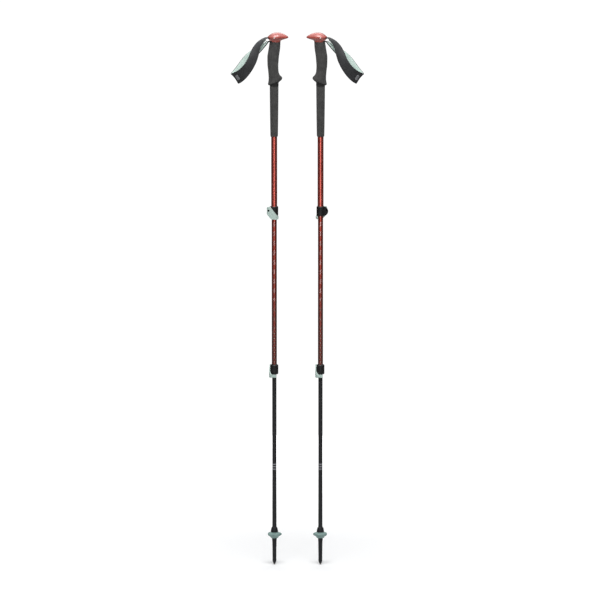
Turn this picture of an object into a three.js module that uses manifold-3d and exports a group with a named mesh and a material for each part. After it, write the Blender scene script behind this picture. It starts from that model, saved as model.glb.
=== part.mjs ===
// A pair of three-section trekking poles, standing upright and facing each other.
// Millimetres, +Z up. The origin is on the ground, midway between the two tips.
// Each pole is built about its own axis: the tip is at z = 0, the beak of the knob points
// to +X and the wrist strap hangs to -X. The right pole is that pole turned half round.

import * as THREE from 'three';
import { mergeVertices } from 'three/addons/utils/BufferGeometryUtils.js';
import Module from 'manifold-3d';

const wasm = await Module();
wasm.setup();

// Driving dimensions

const SPACING = 120;              // between the two pole axes
const CLEARANCE = 0.3;            // between pieces that touch
const SIDES = 20;                 // facets round a tube
const WALL = 0.8;                 // of every tube

const UPPER_RADIUS = 7.7;
const MIDDLE_RADIUS = 6.6;
const LOWER_RADIUS = 5.5;

const KNOB_BOTTOM = 1371.5;
const GRIP_BOTTOM = 1258;         // where the shaped grip meets the foam extension
const FOAM_BOTTOM = 1125.5;
const UPPER_TOP = 1369;
const UPPER_LOCK_TOP = 944;
const MIDDLE_TOP = 975;
const LOWER_LOCK_TOP = 529;
const LOWER_TOP = 566;
const LOWER_BOTTOM = 77;

const LOCK_HEIGHT = 25;
const LOCK_RADIUS = 10.5;
const LOCK_LIP = 2;               // the inward lip below the end of the tube
const SCREW_X = -15.2;            // the tension screw and the barrel pin cross here
const SCREW_DROP = 10.5;          // below the top of the collar
const PIN_Y = -7.2;
const PIN_RADIUS = 2.2;
const UPPER_LOCK_TURN = { left: 0, right: 14 };
const LOWER_LOCK_TURN = { left: -90, right: 98 };

const LOCK_BELOW = -40;           // lower than any piece of a lock, from its top
const WEBBING_THICKNESS = 1.9;
const LINING_THICKNESS = 2.6;

const BASKET_LOBES = 5;
const BASKET_RADIUS = 18;
const HUB_RADIUS = 8;             // the threaded hub of the ferrule inside the basket

// Colours and finishes

const finish = (color, roughness, metalness = 0) => ({ color, roughness, metalness });
const KNOB_RED = finish(0xb4463c, 0.4);
const FOAM = finish(0x3c3b39, 0.95);
const WEBBING = finish(0x26282a, 0.85);
const LINING = finish(0xbfd3c8, 0.9);
const PATCH = finish(0x8a8e90, 0.6);
const UPPER_RED = finish(0xc4483c, 0.3, 0.7);
const MIDDLE_RED = finish(0x9c352d, 0.3, 0.7);
const SHAFT_BLACK = finish(0x232326, 0.45, 0.4);
const LOCK_BLACK = finish(0x202021, 0.6);
const MINT = finish(0xa9beb5, 0.55);
const BASKET_MINT = finish(0x829c92, 0.6);
const FERRULE = finish(0x2b2b2f, 0.65);
const STEEL = finish(0xb8b8b4, 0.3, 1);
const BLACK_STEEL = finish(0x2c2c2e, 0.4, 0.8);
const CARBIDE = finish(0x6f6a64, 0.4, 1);
const NYLON = finish(0x3a3a3c, 0.6);

// Solids

/** Position-only geometry with shared vertices, no slivers, and its faces pointing out. */
function weld(geometry) {
  geometry.deleteAttribute('normal');
  geometry.deleteAttribute('uv');
  const merged = mergeVertices(geometry, 1e-4);
  const position = merged.getAttribute('position');
  const kept = [];
  let volume = 0;
  const corner = [new THREE.Vector3(), new THREE.Vector3(), new THREE.Vector3()];
  for (let i = 0; i < merged.index.count; i += 3) {
    const [a, b, c] = [0, 1, 2].map((k) => merged.index.getX(i + k));
    if (a === b || b === c || c === a) continue;
    kept.push(a, b, c);
    [a, b, c].forEach((v, k) => corner[k].fromBufferAttribute(position, v));
    volume += corner[0].dot(corner[1].cross(corner[2]));
  }
  if (volume < 0) kept.reverse();
  merged.setIndex(kept);
  return merged;
}

function toManifold(geometry) {
  const welded = weld(geometry);
  const vertProperties = new Float32Array(welded.getAttribute('position').array);
  const triVerts = new Uint32Array(welded.index.array);
  return new wasm.Manifold(new wasm.Mesh({ numProp: 3, vertProperties, triVerts }));
}

function fromManifold(solid) {
  const mesh = solid.getMesh();
  const geometry = new THREE.BufferGeometry();
  const points = new Float32Array(mesh.vertProperties);
  geometry.setAttribute('position', new THREE.BufferAttribute(points, 3));
  geometry.setIndex(Array.from(mesh.triVerts));
  return geometry;
}

const union = (...parts) => parts.map(toManifold).reduce((a, b) => a.add(b));
const cut = (solid, ...tools) => tools.map(toManifold).reduce((a, b) => a.subtract(b), solid);

/** A solid of revolution about Z, from [radius, z] points; a hollow one repeats its first point. */
function lathe(points, sides = SIDES) {
  const profile = points.map(([radius, z]) => new THREE.Vector2(radius, z));
  return new THREE.LatheGeometry(profile, sides).rotateX(Math.PI / 2);
}

function tube(outer, inner, bottom, top, sides = SIDES) {
  return lathe([[inner, bottom], [outer, bottom], [outer, top], [inner, top], [inner, bottom]], sides);
}

function rod(radius, bottom, top, sides = SIDES) {
  return lathe([[0, bottom], [radius, bottom], [radius, top], [0, top]], sides);
}

/** A rod along Y. */
function crossRod(radius, from, to, x, z, sides = 12) {
  return rod(radius, from, to, sides).rotateX(-Math.PI / 2).translate(x, 0, z);
}

function box(x0, x1, y0, y1, z0, z1) {
  const geometry = new THREE.BoxGeometry(x1 - x0, y1 - y0, z1 - z0);
  return geometry.translate((x0 + x1) / 2, (y0 + y1) / 2, (z0 + z1) / 2);
}

function outline(points) {
  return new THREE.Shape(points.map(([a, b]) => new THREE.Vector2(a, b)));
}

/** An outline in plan, raised from one height to another. */
function raise(shape, bottom, top, curveSegments = 12) {
  const options = { depth: top - bottom, bevelEnabled: false, curveSegments };
  return new THREE.ExtrudeGeometry(shape, options).translate(0, 0, bottom);
}

/** An outline in side view, drawn in X and Z, spread from one Y to another. */
function spread(shape, from, to, curveSegments = 12) {
  const options = { depth: to - from, bevelEnabled: false, curveSegments };
  return new THREE.ExtrudeGeometry(shape, options).rotateX(Math.PI / 2).translate(0, to, 0);
}

/**
 * A closed skin over a stack of rings that all have the same number of points. The diagonals
 * on the second half of a ring mirror those on the first, so the faces of a thin band match.
 */
function loft(rings) {
  const count = rings[0].length;
  const middle = (ring) => ring.reduce((sum, p) => sum.add(p), new THREE.Vector3()).divideScalar(count);
  const points = [...rings.flat(), middle(rings[0]), middle(rings.at(-1))];
  const first = rings.length * count;
  const index = [];
  for (let i = 0; i < count; i += 1) {
    const next = (i + 1) % count;
    index.push(first, next, i);
    for (let ring = 0; ring < rings.length - 1; ring += 1) {
      const low = ring * count;
      const high = low + count;
      const [from, to] = i < count / 2 ? [low + i, high + next] : [low + next, high + i];
      const [a, b] = i < count / 2 ? [low + next, high + i] : [high + next, low + i];
      index.push(from, a, to);
      index.push(from, to, b);
    }
    const last = first - count;
    index.push(first + 1, last + i, last + next);
  }
  return new THREE.BufferGeometry().setFromPoints(points).setIndex(index);
}

/** An egg-shaped level ring from rear to front; lift raises its front and drops its rear. */
function eggRing({ z, rear, front, half, taper = 0, lift = 0 }, sides) {
  const middle = (rear + front) / 2;
  const reach = (front - rear) / 2;
  return Array.from({ length: sides }, (_, i) => {
    const angle = (2 * Math.PI * i) / sides;
    const ahead = Math.cos(angle);
    const across = half * Math.sin(angle) * (1 - taper * ahead);
    return new THREE.Vector3(middle + reach * ahead, across, z + lift * ahead);
  });
}

// The pole's own group, filled in piece by piece

function piece(group, name, geometry, look) {
  const mesh = new THREE.Mesh(weld(geometry), new THREE.MeshStandardMaterial(look));
  mesh.name = name;
  group.add(mesh);
}

// Knob, strap wedge and pin

const KNOB_RINGS = [
  { z: KNOB_BOTTOM, rear: -10.6, front: 16.6, half: 12.8 },
  { z: 1374, rear: -11.2, front: 17.2, half: 13, taper: 0.05 },
  { z: 1376, rear: -12.4, front: 20, half: 13.5, taper: 0.12 },
  { z: 1377.8, rear: -13.9, front: 25.6, half: 14.5, taper: 0.2 },
  { z: 1379.6, rear: -15.3, front: 31.6, half: 15.7, taper: 0.28 },
  { z: 1381.4, rear: -16.4, front: 35.6, half: 16.8, taper: 0.32 },
  { z: 1383, rear: -16.9, front: 36.8, half: 17.3, taper: 0.32 },
  { z: 1384.6, rear: -16.5, front: 36.2, half: 17.2, taper: 0.32 },
  { z: 1386.9, rear: -14, front: 33.7, half: 16.3, taper: 0.3 },
  { z: 1389.5, rear: -11, front: 29.5, half: 14.5, taper: 0.26 },
  { z: 1391.9, rear: -7.8, front: 25.2, half: 12.1, taper: 0.2 },
  { z: 1393.9, rear: -4, front: 20, half: 9.1, taper: 0.1 },
  { z: 1395.1, rear: 0.2, front: 15, half: 5.4 },
  { z: 1395.5, rear: 4.2, front: 11, half: 2.2 },
];
const POCKET = { top: 1382.8, innerTop: 1386.1, half: 10.3, end: 4, step: -7 };
const STRAP_PIN = { x: 0.4, z: 1382.9, radius: 1.6, half: 16.4 };

function knob() {
  const body = toManifold(loft(KNOB_RINGS.map((ring) => eggRing(ring, 24))));
  const pocket = outline([
    [-22, KNOB_BOTTOM - 1],
    [POCKET.end, KNOB_BOTTOM - 1],
    [POCKET.end, POCKET.innerTop],
    [POCKET.step, POCKET.innerTop],
    [POCKET.step, POCKET.top],
    [-22, POCKET.top],
  ]);
  const bore = crossRod(STRAP_PIN.radius + CLEARANCE, -20, 20, STRAP_PIN.x, STRAP_PIN.z);
  return fromManifold(cut(body, spread(pocket, -POCKET.half, POCKET.half), bore));
}

function strapPin() {
  const { x, z, radius, half } = STRAP_PIN;
  return crossRod(radius, -half, half, x, z);
}

/** The wedge that pinches the webbing, between its upper and its lower run. */
function strapWedge() {
  const shape = outline([
    [-11.2, 1374.8],
    [-4.5, 1374.8],
    [-2.6, 1376.5],
    [-3.4, 1378.9],
    [-14.2, 1378.9],
  ]);
  return fromManifold(toManifold(spread(shape, 0.6 - POCKET.half, POCKET.half - 0.6)));
}

/** The webbing inside the knob, one band that passes round the pin. */
function strapAnchor() {
  const inner = STRAP_PIN.radius + CLEARANCE;
  const outer = inner + 1.2;
  const shape = new THREE.Shape();
  shape.moveTo(-16.4, 1380.8);
  shape.lineTo(-16.4, 1379.5);
  shape.lineTo(-5.5, 1379.5);
  shape.lineTo(-1.6, 1379.9);
  shape.lineTo(1.2, 1378.7);
  shape.lineTo(1.4, 1375.1);
  shape.lineTo(-1.6, 1373.3);
  shape.lineTo(-10.4, 1373.3);
  shape.lineTo(-10.4, 1372);
  shape.lineTo(-1.2, 1372);
  shape.lineTo(2.8, 1374.3);
  shape.lineTo(3.6, STRAP_PIN.z);
  shape.absarc(STRAP_PIN.x, STRAP_PIN.z, outer, 0, Math.PI * 0.75, false);
  shape.lineTo(-5.6, 1380.8);
  shape.closePath();
  const hole = new THREE.Path();
  hole.absarc(STRAP_PIN.x, STRAP_PIN.z, inner, 0, 2 * Math.PI, true);
  shape.holes.push(hole);
  return spread(shape, -9.2, 9.2, 6);
}

// Wrist strap

// The loop leaves the top of the exit, runs down its near side to the fold, and comes back up
// its far side. Twist turns the band from lying flat at the knob to facing sideways.
const STRAP_ROUTE = [
  { x: -20.5, y: 0, z: 1380.1, twist: 8, width: 18 },
  { x: -25, y: -0.4, z: 1377.4, twist: 16, width: 18.5 },
  { x: -31.5, y: -1.6, z: 1372.5, twist: 26, width: 19.5 },
  { x: -38.5, y: -4, z: 1365.3, twist: 38, width: 20.5 },
  { x: -45, y: -8, z: 1354.8, twist: 53, width: 22 },
  { x: -50.5, y: -12, z: 1341.1, twist: 71, width: 23.5 },
  { x: -56.5, y: -14.6, z: 1325.4, twist: 85, width: 24.5 },
  { x: -66, y: -15.4, z: 1308.3, twist: 90, width: 26 },
  { x: -78, y: -13.2, z: 1293.1, twist: 90, width: 28.5 },
  { x: -90.5, y: -7.6, z: 1282.2, twist: 90, width: 31.5 },
  { x: -99.8, y: 0, z: 1277.7, twist: 90, width: 33 },
  { x: -92.5, y: 8, z: 1287.4, twist: 90, width: 32 },
  { x: -83, y: 13, z: 1301.6, twist: 90, width: 29 },
  { x: -73.5, y: 14.8, z: 1316.8, twist: 88, width: 26.5 },
  { x: -62, y: 13.6, z: 1331.1, twist: 78, width: 24.5 },
  { x: -49, y: 10, z: 1343.4, twist: 58, width: 22.5 },
  { x: -37, y: 5.6, z: 1352.9, twist: 36, width: 20.5 },
  { x: -27, y: 2, z: 1361, twist: 18, width: 19 },
  { x: -20, y: 0.4, z: 1367.7, twist: 7, width: 18.5 },
  { x: -16.2, y: 0, z: 1372.1, twist: 3, width: 18 },
];
const STRAP_LAST = 2 * (STRAP_ROUTE.length - 1);     // the last ring, at two to a stretch
const STRAP_EDGE = new THREE.Vector3(0.6, 0, -0.8);  // the fold's edge, seen from the side

/** A band along the strap's route, from one ring to another, between two offsets outward. */
function strapBand({ start = 0, end = STRAP_LAST, inset = 0, inner, outer }) {
  const route = new THREE.CatmullRomCurve3(STRAP_ROUTE.map((p) => new THREE.Vector3(p.x, p.y, p.z)));
  const turns = STRAP_ROUTE.map((p) => new THREE.Vector3(p.twist, p.width, 0));
  const shape = new THREE.CatmullRomCurve3(turns);
  const rings = Array.from({ length: end - start + 1 }, (_, i) => {
    const at = (start + i) / STRAP_LAST;
    const point = route.getPoint(at);
    const along = route.getTangent(at);
    const { x: twist, y: width } = shape.getPoint(at);
    const turn = THREE.MathUtils.degToRad(twist);
    const across = new THREE.Vector3(0, -Math.cos(turn), 0).addScaledVector(STRAP_EDGE, Math.sin(turn));
    across.addScaledVector(along, -across.dot(along)).normalize();
    const out = new THREE.Vector3().crossVectors(along, across);
    const half = width / 2 - inset;
    const corner = (a, b) => point.clone().addScaledVector(across, a).addScaledVector(out, b);
    return [corner(half, inner), corner(half, outer), corner(-half, outer), corner(-half, inner)];
  });
  return loft(rings);
}

const strapWebbing = () => strapBand({ inner: CLEARANCE / 2, outer: CLEARANCE / 2 + WEBBING_THICKNESS });

function strapLining() {
  const outer = -CLEARANCE / 2;
  return strapBand({ start: 3, end: STRAP_LAST - 3, inset: 0.8, inner: outer - LINING_THICKNESS, outer });
}

/** The plain patch on the near side of the loop, beside the fold. */
function strapPatch() {
  const inner = WEBBING_THICKNESS + CLEARANCE * 1.5;
  return strapBand({ start: 18, end: 19, inset: 9, inner, outer: inner + 0.6 });
}

// Foam grip

const GRIP_RINGS = [
  { z: GRIP_BOTTOM + CLEARANCE, rear: -11.9, front: 11.8, half: 11.6 },
  { z: 1262.4, rear: -12.2, front: 12, half: 11.8, lift: 3.7 },
  { z: 1265.2, rear: -15, front: 17, half: 13, lift: 5.6 },
  { z: 1268, rear: -15.9, front: 20.2, half: 13.5, lift: 6.6 },
  { z: 1271, rear: -15.8, front: 21, half: 13.6, lift: 7 },
  { z: 1274, rear: -15.1, front: 19.8, half: 13.4, lift: 6.8 },
  { z: 1277.4, rear: -14.5, front: 17, half: 13.1, lift: 6 },
  { z: 1281.6, rear: -14.2, front: 14.6, half: 12.8, lift: 4.8 },
  { z: 1286.6, rear: -14.4, front: 12.8, half: 12.5, lift: 3.4 },
  { z: 1293, rear: -15, front: 11.6, half: 12.4, lift: 2 },
  { z: 1301, rear: -15.9, front: 11.1, half: 12.6, lift: 0.8 },
  { z: 1312, rear: -17.2, front: 11, half: 13 },
  { z: 1332, rear: -17.5, front: 12.5, half: 13.2 },
  { z: 1343, rear: -16.1, front: 14, half: 13 },
  { z: 1354, rear: -14.2, front: 15.6, half: 12.8 },
  { z: 1364, rear: -12.6, front: 16.3, half: 12.7 },
  { z: KNOB_BOTTOM - CLEARANCE, rear: -11.4, front: 16.5, half: 12.7 },
];
const EXTENSION_PROFILE = [[11.4, 1257.7], [11.2, 1225], [10.8, 1188], [10.4, 1156], [9.9, 1129.5]];

function foamGrip() {
  const body = toManifold(loft(GRIP_RINGS.map((ring) => eggRing(ring, 22))));
  return fromManifold(cut(body, rod(UPPER_RADIUS + CLEARANCE, GRIP_BOTTOM - 1, KNOB_BOTTOM + 1)));
}

function foamExtension() {
  const bore = UPPER_RADIUS + CLEARANCE;
  const top = EXTENSION_PROFILE[0][1];
  const bottom = [[9.3, FOAM_BOTTOM + 1], [bore + 0.7, FOAM_BOTTOM], [bore, FOAM_BOTTOM]];
  return lathe([[bore, top], ...EXTENSION_PROFILE, ...bottom, [bore, top]]);
}

// Flick lock: a split collar, its cam lever, the barrel pin and the tension screw

function lockEar(from, to) {
  const shape = new THREE.Shape();
  shape.moveTo(-6, -0.6);
  shape.absarc(-6.8, -12.8, 12.2, Math.PI * 0.53, Math.PI * 1.47, false);
  shape.lineTo(-6, -LOCK_HEIGHT);
  shape.closePath();
  return spread(shape, from, to, 16);
}

function lockCollar(outerTube, innerTube) {
  const lip = innerTube + CLEARANCE;
  const bore = outerTube + CLEARANCE;
  const ring = lathe([
    [lip, -LOCK_HEIGHT], [LOCK_RADIUS - 1.6, -LOCK_HEIGHT], [LOCK_RADIUS - 0.4, 0.8 - LOCK_HEIGHT],
    [LOCK_RADIUS, 2 - LOCK_HEIGHT], [LOCK_RADIUS, -1.6], [LOCK_RADIUS - 1.2, 0], [bore, 0],
    [bore, LOCK_LIP - LOCK_HEIGHT], [lip, LOCK_LIP - LOCK_HEIGHT], [lip, -LOCK_HEIGHT],
  ]);
  const solid = union(ring, lockEar(-2.9, -0.6), lockEar(0.6, 6.5));
  return fromManifold(cut(
    solid,
    rod(bore, LOCK_LIP - LOCK_HEIGHT, 1),
    rod(lip, -LOCK_HEIGHT - 1, 0),
    box(-14, -5, -0.6, 0.6, -LOCK_HEIGHT - 1, 1),
    crossRod(1.7, -4, 8, SCREW_X, -SCREW_DROP),
    crossRod(2.8, 4, 8, SCREW_X, -SCREW_DROP),
  ));
}

/** The lever's face as it is seen square on, which trims the wrapped arm. */
function leverFace() {
  const shape = new THREE.Shape();
  shape.moveTo(-21, -6);
  shape.quadraticCurveTo(-20.4, -1.4, -15, -1);
  shape.lineTo(-11.5, -1);
  shape.quadraticCurveTo(-9.4, -1.2, -8.4, -2.6);
  shape.lineTo(8.6, -24.2);
  shape.lineTo(9.4, -25.4);
  shape.lineTo(14, -25.4);
  shape.lineTo(14, -30);
  shape.lineTo(9.6, -33.6);
  shape.lineTo(-4, -33.6);
  shape.quadraticCurveTo(-7.4, -33.6, -9.6, -31.4);
  shape.lineTo(-19, -20);
  shape.lineTo(-21, -16);
  shape.closePath();
  return spread(shape, -16, 14, 6);
}

const ARM = { start: 225, turn: 318, end: 387, inner: 11.1, thickness: 2.6, tuck: 2.7 };

/** The arm in plan: an arc outside the collar, which draws in towards the shaft below it. */
function leverArm() {
  const steps = 12;
  const side = (offset) => Array.from({ length: steps + 1 }, (_, i) => {
    const degrees = ARM.start + ((ARM.end - ARM.start) * i) / steps;
    const tucked = THREE.MathUtils.smoothstep(degrees, ARM.turn, ARM.turn + 40) * ARM.tuck;
    const radius = ARM.inner + offset - tucked;
    const angle = THREE.MathUtils.degToRad(degrees);
    return [radius * Math.cos(angle), radius * Math.sin(angle)];
  });
  return outline([...side(ARM.thickness), ...side(0).reverse()]);
}

function lockLever() {
  const head = rod(4, LOCK_BELOW, 0, 16).translate(SCREW_X, PIN_Y, 0);
  const neck = outline([
    [SCREW_X, PIN_Y - 4], [-10, -12.1], [-4.7, -13], [-4, -10.9], [-7.9, -8], [SCREW_X + 2.4, PIN_Y + 3],
  ]);
  const tall = union(head, raise(neck, LOCK_BELOW, 0), raise(leverArm(), LOCK_BELOW, 0));
  const body = tall.intersect(toManifold(leverFace()));
  const slotBottom = -SCREW_DROP - 2.1;
  const slotTop = -SCREW_DROP + 2.1;
  return fromManifold(cut(
    body,
    rod(PIN_RADIUS + CLEARANCE, LOCK_BELOW, 1, 12).translate(SCREW_X, PIN_Y, 0),
    box(SCREW_X - 6, SCREW_X + 1.9, PIN_Y - 2, PIN_Y + 5, slotBottom, slotTop),
    crossRod(2.6, -13, PIN_Y, SCREW_X, -SCREW_DROP),
    box(0, 16, -6, 16, -LOCK_HEIGHT - 0.4, 0),
  ));
}

function lockPin() {
  const barrel = toManifold(rod(PIN_RADIUS, -18.6, -2.4, 12).translate(SCREW_X, PIN_Y, 0));
  return fromManifold(cut(barrel, crossRod(1.6, PIN_Y - 1.4, 0, SCREW_X, -SCREW_DROP)));
}

function lockScrew() {
  const shank = crossRod(1.3, PIN_Y - 1, 4.5, SCREW_X, -SCREW_DROP);
  const head = crossRod(2.4, 4.3, 6.1, SCREW_X, -SCREW_DROP);
  const recess = crossRod(1.2, 5, 7, SCREW_X, -SCREW_DROP, 6);
  return fromManifold(cut(union(shank, head), recess));
}

function addLock(group, { prefix, top, turn }, outerTube, innerTube) {
  const lock = new THREE.Group();
  lock.position.z = top;
  lock.rotation.z = THREE.MathUtils.degToRad(turn);
  group.add(lock);
  piece(lock, `${prefix}_collar`, lockCollar(outerTube, innerTube), LOCK_BLACK);
  piece(lock, `${prefix}_lever`, lockLever(), MINT);
  piece(lock, `${prefix}_pin`, lockPin(), BLACK_STEEL);
  piece(lock, `${prefix}_screw`, lockScrew(), BLACK_STEEL);
}

// Shafts, and the bushings on the tops of the two sliding ones

function bushing(radius, top) {
  const stem = radius - WALL - CLEARANCE;
  const flange = top + CLEARANCE;
  return lathe([
    [stem - 1.4, top - 10], [stem, top - 10], [stem, flange], [radius, flange],
    [radius, flange + 4], [stem - 1.4, flange + 4], [stem - 1.4, top - 10],
  ], 16);
}

function upperPlug() {
  const stem = UPPER_RADIUS - WALL - CLEARANCE;
  const seat = UPPER_TOP + CLEARANCE;
  return lathe([[0, UPPER_TOP - 12], [stem, UPPER_TOP - 12], [stem, seat], [UPPER_RADIUS, seat],
    [UPPER_RADIUS, seat + 1.6], [0, seat + 1.6]], 16);
}

const shaft = (radius, bottom, top) => tube(radius, radius - WALL, bottom, top);

// Tip: ferrule, basket and carbide point

function ferrule() {
  const socket = LOWER_RADIUS + CLEARANCE;
  const pointBore = 2.5;
  return lathe([
    [0, 14], [pointBore, 14], [pointBore, 4], [3.3, 4], [5.1, 9], [5.1, 24], [5.7, 63], [6.2, 66],
    [6.2, 69.4],
    [HUB_RADIUS, 70.4], [HUB_RADIUS, 86.4], [9.7, 86.8], [9.6, 88.4], [8.9, 93], [7.6, 97.4], [6.5, 99.6],
    [socket, 99.6], [socket, LOWER_BOTTOM - 1], [0, LOWER_BOTTOM - 1],
  ]);
}

function basket() {
  const levels = [
    { z: 71, radius: 9.8, lobe: 0 },
    { z: 73.4, radius: 10.8, lobe: 0 },
    { z: 75.8, radius: 13.6, lobe: 0.3 },
    { z: 77.8, radius: 16.8, lobe: 0.8 },
    { z: 80, radius: BASKET_RADIUS, lobe: 1 },
    { z: 82.4, radius: 17.6, lobe: 0.9 },
    { z: 84, radius: 15.4, lobe: 0.6 },
    { z: 84.9, radius: 11.6, lobe: 0.1 },
    { z: 86, radius: 10, lobe: 0 },
  ];
  const sides = BASKET_LOBES * 6;
  const rings = levels.map(({ z, radius, lobe }) => Array.from({ length: sides }, (_, i) => {
    const angle = (2 * Math.PI * i) / sides;
    const reach = radius + lobe * Math.cos(BASKET_LOBES * angle);
    return new THREE.Vector3(reach * Math.cos(angle), reach * Math.sin(angle), z);
  }));
  return fromManifold(cut(toManifold(loft(rings)), rod(HUB_RADIUS + CLEARANCE, 60, 90)));
}

function carbideTip() {
  return lathe([[0, 0], [1.9, 0], [2.2, 0.6], [2.2, 13.6], [0, 13.6]], 16);
}

// One pole

function pole(side) {
  const group = new THREE.Group();
  const add = (name, geometry, look) => piece(group, `${side}_${name}`, geometry, look);
  const clear = LOCK_LIP + CLEARANCE - LOCK_HEIGHT;
  add('knob', knob(), KNOB_RED);
  add('strap_pin', strapPin(), STEEL);
  add('strap_wedge', strapWedge(), KNOB_RED);
  add('strap_anchor', strapAnchor(), WEBBING);
  add('foam_grip', foamGrip(), FOAM);
  add('foam_extension', foamExtension(), FOAM);
  add('upper_shaft', shaft(UPPER_RADIUS, UPPER_LOCK_TOP + clear, UPPER_TOP), UPPER_RED);
  add('upper_shaft_plug', upperPlug(), NYLON);
  add('middle_shaft', shaft(MIDDLE_RADIUS, LOWER_LOCK_TOP + clear, MIDDLE_TOP), MIDDLE_RED);
  add('middle_shaft_bushing', bushing(MIDDLE_RADIUS, MIDDLE_TOP), NYLON);
  add('lower_shaft', shaft(LOWER_RADIUS, LOWER_BOTTOM, LOWER_TOP), SHAFT_BLACK);
  add('lower_shaft_bushing', bushing(LOWER_RADIUS, LOWER_TOP), NYLON);
  add('ferrule', ferrule(), FERRULE);
  add('basket', basket(), BASKET_MINT);
  add('carbide_tip', carbideTip(), CARBIDE);
  const upper = { prefix: `${side}_upper_lock`, top: UPPER_LOCK_TOP, turn: UPPER_LOCK_TURN[side] };
  const lower = { prefix: `${side}_lower_lock`, top: LOWER_LOCK_TOP, turn: LOWER_LOCK_TURN[side] };
  addLock(group, upper, UPPER_RADIUS, MIDDLE_RADIUS);
  addLock(group, lower, MIDDLE_RADIUS, LOWER_RADIUS);
  return group;
}

/** The strap's pieces, whose near side faces -Y on both poles. */
function strap(side) {
  const toward = side === 'left' ? 1 : -1;
  const group = new THREE.Group();
  const mirrored = (geometry) => geometry.scale(toward, 1, 1);
  piece(group, `${side}_strap_webbing`, mirrored(strapWebbing()), WEBBING);
  piece(group, `${side}_strap_lining`, mirrored(strapLining()), LINING);
  piece(group, `${side}_strap_patch`, mirrored(strapPatch()), PATCH);
  return group;
}

const poles = new THREE.Group();
for (const side of ['left', 'right']) {
  const x = (side === 'left' ? -SPACING : SPACING) / 2;
  const body = pole(side);
  body.position.x = x;
  body.rotation.z = side === 'left' ? 0 : Math.PI;
  const loop = strap(side);
  loop.position.x = x;
  poles.add(body, loop);
}

export default poles;
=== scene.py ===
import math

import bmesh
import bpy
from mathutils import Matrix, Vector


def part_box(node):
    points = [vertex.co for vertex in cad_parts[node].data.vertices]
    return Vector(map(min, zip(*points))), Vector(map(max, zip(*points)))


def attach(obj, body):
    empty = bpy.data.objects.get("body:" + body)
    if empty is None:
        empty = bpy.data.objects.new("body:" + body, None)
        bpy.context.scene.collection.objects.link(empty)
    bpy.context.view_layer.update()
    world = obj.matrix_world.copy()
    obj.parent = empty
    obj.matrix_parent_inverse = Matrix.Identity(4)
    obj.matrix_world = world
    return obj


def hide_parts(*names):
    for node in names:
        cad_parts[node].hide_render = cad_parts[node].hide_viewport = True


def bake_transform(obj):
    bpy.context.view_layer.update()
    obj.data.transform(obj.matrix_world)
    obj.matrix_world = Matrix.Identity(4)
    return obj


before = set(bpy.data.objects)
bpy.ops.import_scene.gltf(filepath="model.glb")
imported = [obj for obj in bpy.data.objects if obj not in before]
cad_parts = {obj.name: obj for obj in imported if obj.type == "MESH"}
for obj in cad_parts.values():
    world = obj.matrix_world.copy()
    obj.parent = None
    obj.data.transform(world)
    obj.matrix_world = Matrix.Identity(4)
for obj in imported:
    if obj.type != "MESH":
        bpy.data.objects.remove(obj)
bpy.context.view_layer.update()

# A pair of three-section trekking poles: finer pieces take the place of the CAD frame's shells.
# Metres, the same frame as the CAD. Each pole is built about its own axis, with the beak of
# the knob along +X and the strap along -X, and is then turned to face its neighbour.

MM = 0.001
SIDES = ("left", "right")

# Camera: far off with a long lens, in front of the poles and above their knobs

CAMERA_DISTANCE = 14.0
CAMERA_HEIGHT = 2.741
CAMERA_TARGET = (0.0068, 0.0, 0.6985)
CAMERA_LENS = 326.9
CAMERA_SENSOR = 36.0
CAMERA_CLIP = (0.05, 60.0)


def make_camera():
    data = bpy.data.cameras.new("camera")
    data.lens = CAMERA_LENS
    data.sensor_width = CAMERA_SENSOR
    data.clip_start, data.clip_end = CAMERA_CLIP
    camera = bpy.data.objects.new("camera", data)
    bpy.context.scene.collection.objects.link(camera)
    camera.location = (CAMERA_TARGET[0], -CAMERA_DISTANCE, CAMERA_HEIGHT)
    toward = Vector(CAMERA_TARGET) - camera.location
    camera.rotation_euler = toward.to_track_quat("-Z", "Y").to_euler()
    bpy.context.scene.camera = camera


# Studio: a pale floor, soft lights overhead, in front and behind, and a white surround

WORLD_BACKDROP = 1.05        # strength of the white that the camera sees behind the object
WORLD_SOFT = 0.30            # strength of the surround as a light
WORLD_GLOSS = 0.07           # strength of the surround in what shines
WORLD_ZENITH = 2.6           # and of the wide soft panel overhead that it sees
ZENITH_EDGE = (0.45, 0.9)    # upward part of a direction where the panel begins and is full
LIGHTS = [                   # name, place, target, width, height, watts
    ("overhead", (0.0, -1.1, 3.3), (0, 0, 0.2), 1.3, 1.3, 68),
    ("front", (0.0, -4.2, 1.3), (0, 0, 0.9), 1.4, 2.2, 34),
    ("back", (0.0, 2.4, 3.2), (0, 0, 1.1), 2.6, 1.3, 34),
]
FLOOR_RADIUS = 2.0
FLOOR_GLOW = (0.2, 1.0)      # near the poles, where their shadows show, and at the rim
GLOW_START = 0.15            # distance from the middle where the glow begins to rise


def area_light(name, place, target, width, height, watts):
    data = bpy.data.lights.new(name, "AREA")
    data.shape = "RECTANGLE"
    data.size = width
    data.size_y = height
    data.energy = watts
    light = bpy.data.objects.new(name, data)
    bpy.context.scene.collection.objects.link(light)
    light.location = place
    toward = Vector(target) - Vector(place)
    light.rotation_euler = toward.to_track_quat("-Z", "Y").to_euler()


def background(tree, color, strength):
    shade = tree.nodes.new("ShaderNodeBackground")
    shade.inputs["Color"].default_value = (*color, 1)
    shade.inputs["Strength"].default_value = strength
    return shade.outputs[0]


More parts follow.
